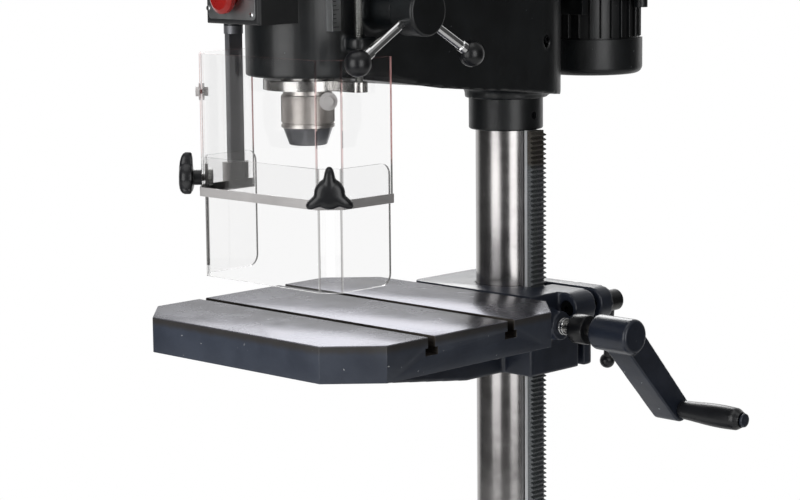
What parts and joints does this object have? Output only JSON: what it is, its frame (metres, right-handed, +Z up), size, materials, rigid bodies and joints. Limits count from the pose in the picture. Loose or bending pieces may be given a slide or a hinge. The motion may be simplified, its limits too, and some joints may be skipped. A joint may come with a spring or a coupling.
{
  "type": "drill press",
  "caption": "Pillar drill press: square slotted table on a crank-lifted bracket, rack and round column, belt-driven head with keyless chuck and clear swing-away guard.",
  "frame": {"origin": "column axis at the underside of the base", "axes": "+Z up along the column, -Y towards the operator, +X to the machine's right"},
  "size_m": [0.5566, 0.77, 1.4688],
  "materials": {
    "base": "satin paint",
    "column_foot": "satin paint",
    "column": "ground and polished",
    "stand_screws": "black oxide",
    "rack": "milled",
    "rack_collar": "satin black",
    "head": "satin paint",
    "depth_scale": "anodised",
    "quill_lock_seat": "turned",
    "spring_cap": "matt",
    "return_spring": "blued",
    "belt_tray": "satin paint",
    "cover_hinges": "zinc",
    "front_belt": "matt",
    "rear_belt": "matt",
    "switch_box": "textured",
    "guard_bracket": "satin",
    "table_bracket": "satin paint",
    "table": "ground top, painted sides",
    "table_bolts": "black oxide",
    "clamp_bolt": "black oxide",
    "clamp_lever": "matt",
    "lift_pinion": "milled",
    "lift_wheel": "machined",
    "lift_worm": "turned",
    "crank_spacers": "bright washer, black collar",
    "crank_arm": "satin paint",
    "crank_grip": "gloss",
    "quill": "ground",
    "quill_collar": "black",
    "quill_bearings": "ground",
    "depth_stop": "zinc",
    "spindle": "ground",
    "chuck_body": "satin",
    "chuck_sleeve": "satin, knurled",
    "feed_shaft": "ground",
    "feed_hub": "satin paint",
    "feed_handles": "bright spokes, black balls",
    "quill_lock": "matt",
    "chuck_jaw_1": "hardened",
    "chuck_jaw_2": "hardened",
    "chuck_jaw_3": "hardened",
    "belt_cover": "satin paint",
    "cover_fittings": "matt",
    "drive_pulley": "turned",
    "idler_pulley": "turned",
    "motor_pulley": "turned",
    "motor": "painted",
    "motor_covers": "painted",
    "motor_mount": "painted",
    "guard_bar": "satin black",
    "upper_shield": "clear polycarbonate",
    "shield_band": "anodised",
    "shield_screws": "zinc",
    "lower_shield": "clear polycarbonate",
    "guard_knob_right": "matt",
    "guard_knob_left": "matt",
    "start_button": "gloss",
    "stop_button": "gloss",
    "estop_button": "gloss"
  },
  "bodies": {
    "stand": {"base": "base", "column_foot": "column_foot", "column": "column", "stand_screws": "stand_screws", "rack_collar": "rack_collar", "head": "head", "depth_scale": "depth_scale", "quill_lock_seat": "quill_lock_seat", "spring_cap": "spring_cap", "return_spring": "return_spring", "belt_tray": "belt_tray", "cover_hinges": "cover_hinges", "front_belt": "front_belt", "rear_belt": "rear_belt", "switch_box": "switch_box", "guard_bracket": "guard_bracket"},
    "rack": {"rack": "rack"},
    "table_carriage": {"table_bracket": "table_bracket", "table": "table", "table_bolts": "table_bolts", "clamp_bolt": "clamp_bolt"},
    "clamp_lever": {"clamp_lever": "clamp_lever"},
    "lift_gear": {"lift_pinion": "lift_pinion", "lift_wheel": "lift_wheel"},
    "crank": {"lift_worm": "lift_worm", "crank_spacers": "crank_spacers", "crank_arm": "crank_arm"},
    "crank_grip": {"crank_grip": "crank_grip"},
    "quill": {"quill": "quill", "quill_collar": "quill_collar", "quill_bearings": "quill_bearings", "depth_stop": "depth_stop"},
    "spindle": {"spindle": "spindle", "chuck_body": "chuck_body"},
    "chuck_sleeve": {"chuck_sleeve": "chuck_sleeve"},
    "chuck_jaw_1": {"chuck_jaw_1": "chuck_jaw_1"},
    "chuck_jaw_2": {"chuck_jaw_2": "chuck_jaw_2"},
    "chuck_jaw_3": {"chuck_jaw_3": "chuck_jaw_3"},
    "feed": {"feed_shaft": "feed_shaft", "feed_hub": "feed_hub", "feed_handles": "feed_handles"},
    "quill_lock": {"quill_lock": "quill_lock"},
    "belt_cover": {"belt_cover": "belt_cover", "cover_fittings": "cover_fittings"},
    "drive_pulley": {"drive_pulley": "drive_pulley"},
    "idler_pulley": {"idler_pulley": "idler_pulley"},
    "motor": {"motor": "motor", "motor_covers": "motor_covers", "motor_mount": "motor_mount"},
    "motor_rotor": {"motor_pulley": "motor_pulley"},
    "guard": {"guard_bar": "guard_bar", "upper_shield": "upper_shield", "shield_band": "shield_band", "shield_screws": "shield_screws"},
    "lower_shield": {"lower_shield": "lower_shield"},
    "guard_knob_right": {"guard_knob_right": "guard_knob_right"},
    "guard_knob_left": {"guard_knob_left": "guard_knob_left"},
    "start_button": {"start_button": "start_button"},
    "stop_button": {"stop_button": "stop_button"},
    "estop_button": {"estop_button": "estop_button"}
  },
  "joints": [
    {"name": "table_swing", "type": "hinge", "parent": "stand", "child": "rack", "pos_m": [0, 0, 0], "axis": [0, 0, 1], "range_deg": [-90, 90]},
    {"name": "table_lift", "type": "slide", "parent": "rack", "child": "table_carriage", "axis": [0, 0, 1], "range_m": [-0.45, 0.02]},
    {"name": "crank_turn", "type": "hinge", "parent": "table_carriage", "child": "crank", "pos_m": [0.15, -0.035, 0.808], "axis": [1, 0, 0], "range_deg": [-9950, 460]},
    {"name": "lift_gear_turn", "type": "hinge", "parent": "table_carriage", "child": "lift_gear", "pos_m": [0.0695, 0, 0.7763], "axis": [0, 1, 0], "range_deg": [-90, 1990]},
    {"name": "crank_grip_spin", "type": "hinge", "parent": "crank", "child": "crank_grip", "pos_m": [0.241, 0.0673, 0.6983], "axis": [1, 0, 0], "continuous": true},
    {"name": "clamp_lever_turn", "type": "hinge", "parent": "table_carriage", "child": "clamp_lever", "pos_m": [0.117, 0.073, 0.826], "axis": [0, 1, 0], "range_deg": [-45, 45]},
    {"name": "quill_feed", "type": "slide", "parent": "stand", "child": "quill", "axis": [0, 0, -1], "range_m": [0, 0.12], "stiffness_N_per_m": 350, "springref_m": -0.4},
    {"name": "feed_turn", "type": "hinge", "parent": "stand", "child": "feed", "pos_m": [0, -0.3185, 1.225], "axis": [1, 0, 0], "range_deg": [0, 530]},
    {"name": "spindle_spin", "type": "hinge", "parent": "quill", "child": "spindle", "pos_m": [0, -0.361, 0.85], "axis": [0, 0, 1], "continuous": true},
    {"name": "drive_pulley_spin", "type": "hinge", "parent": "stand", "child": "drive_pulley", "pos_m": [0, -0.361, 0.85], "axis": [0, 0, 1], "continuous": true},
    {"name": "idler_spin", "type": "hinge", "parent": "stand", "child": "idler_pulley", "pos_m": [0, -0.12, 0.85], "axis": [0, 0, 1], "continuous": true},
    {"name": "motor_spin", "type": "hinge", "parent": "motor", "child": "motor_rotor", "pos_m": [0, 0.175, 0.85], "axis": [0, 0, 1], "continuous": true},
    {"name": "chuck_twist", "type": "hinge", "parent": "spindle", "child": "chuck_sleeve", "pos_m": [0, -0.361, 0.85], "axis": [0, 0, 1], "range_deg": [0, 720]},
    {"name": "jaw_1_close", "type": "slide", "parent": "spindle", "child": "chuck_jaw_1", "axis": [0, -0.2419, -0.9703], "range_m": [0, 0.0081]},
    {"name": "jaw_2_close", "type": "slide", "parent": "spindle", "child": "chuck_jaw_2", "axis": [0.2095, 0.121, -0.9703], "range_m": [0, 0.0081]},
    {"name": "jaw_3_close", "type": "slide", "parent": "spindle", "child": "chuck_jaw_3", "axis": [-0.2095, 0.121, -0.9703], "range_m": [0, 0.0081]},
    {"name": "quill_lock_turn", "type": "hinge", "parent": "stand", "child": "quill_lock", "pos_m": [-0.08017, -0.38248, 1.27], "axis": [-0.9659, -0.2588, 0], "range_deg": [-60, 30]},
    {"name": "belt_cover_lid", "type": "hinge", "parent": "stand", "child": "belt_cover", "pos_m": [-0.109, 0, 1.3655], "axis": [0, -1, 0], "range_deg": [0, 95]},
    {"name": "motor_tension", "type": "slide", "parent": "stand", "child": "motor", "axis": [0, -1, 0], "range_m": [0, 0.012]},
    {"name": "guard_swing", "type": "hinge", "parent": "stand", "child": "guard", "pos_m": [-0.1272, -0.364, 0.85], "axis": [0, 0, -1], "range_deg": [0, 110]},
    {"name": "lower_shield_slide", "type": "slide", "parent": "guard", "child": "lower_shield", "axis": [0, 0, 1], "range_m": [-0.01, 0.065]},
    {"name": "right_knob_turn", "type": "hinge", "parent": "guard", "child": "guard_knob_right", "pos_m": [0.111, -0.4348, 1.02], "axis": [0.7071, -0.7071, 0], "range_deg": [0, 360]},
    {"name": "left_knob_turn", "type": "hinge", "parent": "guard", "child": "guard_knob_left", "pos_m": [-0.111, -0.4348, 1.02], "axis": [-0.7071, -0.7071, 0], "range_deg": [0, 360]},
    {"name": "start_press", "type": "slide", "parent": "stand", "child": "start_button", "axis": [0, 1, 0], "range_m": [0, 0.003], "stiffness_N_per_m": 600, "springref_m": -0.004},
    {"name": "stop_press", "type": "slide", "parent": "stand", "child": "stop_button", "axis": [0, 1, 0], "range_m": [0, 0.003], "stiffness_N_per_m": 600, "springref_m": -0.004},
    {"name": "estop_press", "type": "slide", "parent": "stand", "child": "estop_button", "axis": [0, 1, 0], "range_m": [0, 0.005]}
  ],
  "couplings": [
    {"joint": "crank_turn", "follows": "table_lift", "rad_per_m": 384.62},
    {"joint": "lift_gear_turn", "follows": "table_lift", "rad_per_m": -76.923},
    {"joint": "feed_turn", "follows": "quill_feed", "rad_per_m": 76.923},
    {"joint": "drive_pulley_spin", "follows": "spindle_spin", "ratio": 1},
    {"joint": "idler_spin", "follows": "spindle_spin", "ratio": 1.186},
    {"joint": "motor_spin", "follows": "spindle_spin", "ratio": 1.814},
    {"joint": "jaw_1_close", "follows": "chuck_twist", "m_per_rad": 0.00063662},
    {"joint": "jaw_2_close", "follows": "chuck_twist", "m_per_rad": 0.00063662},
    {"joint": "jaw_3_close", "follows": "chuck_twist", "m_per_rad": 0.00063662}
  ]
}
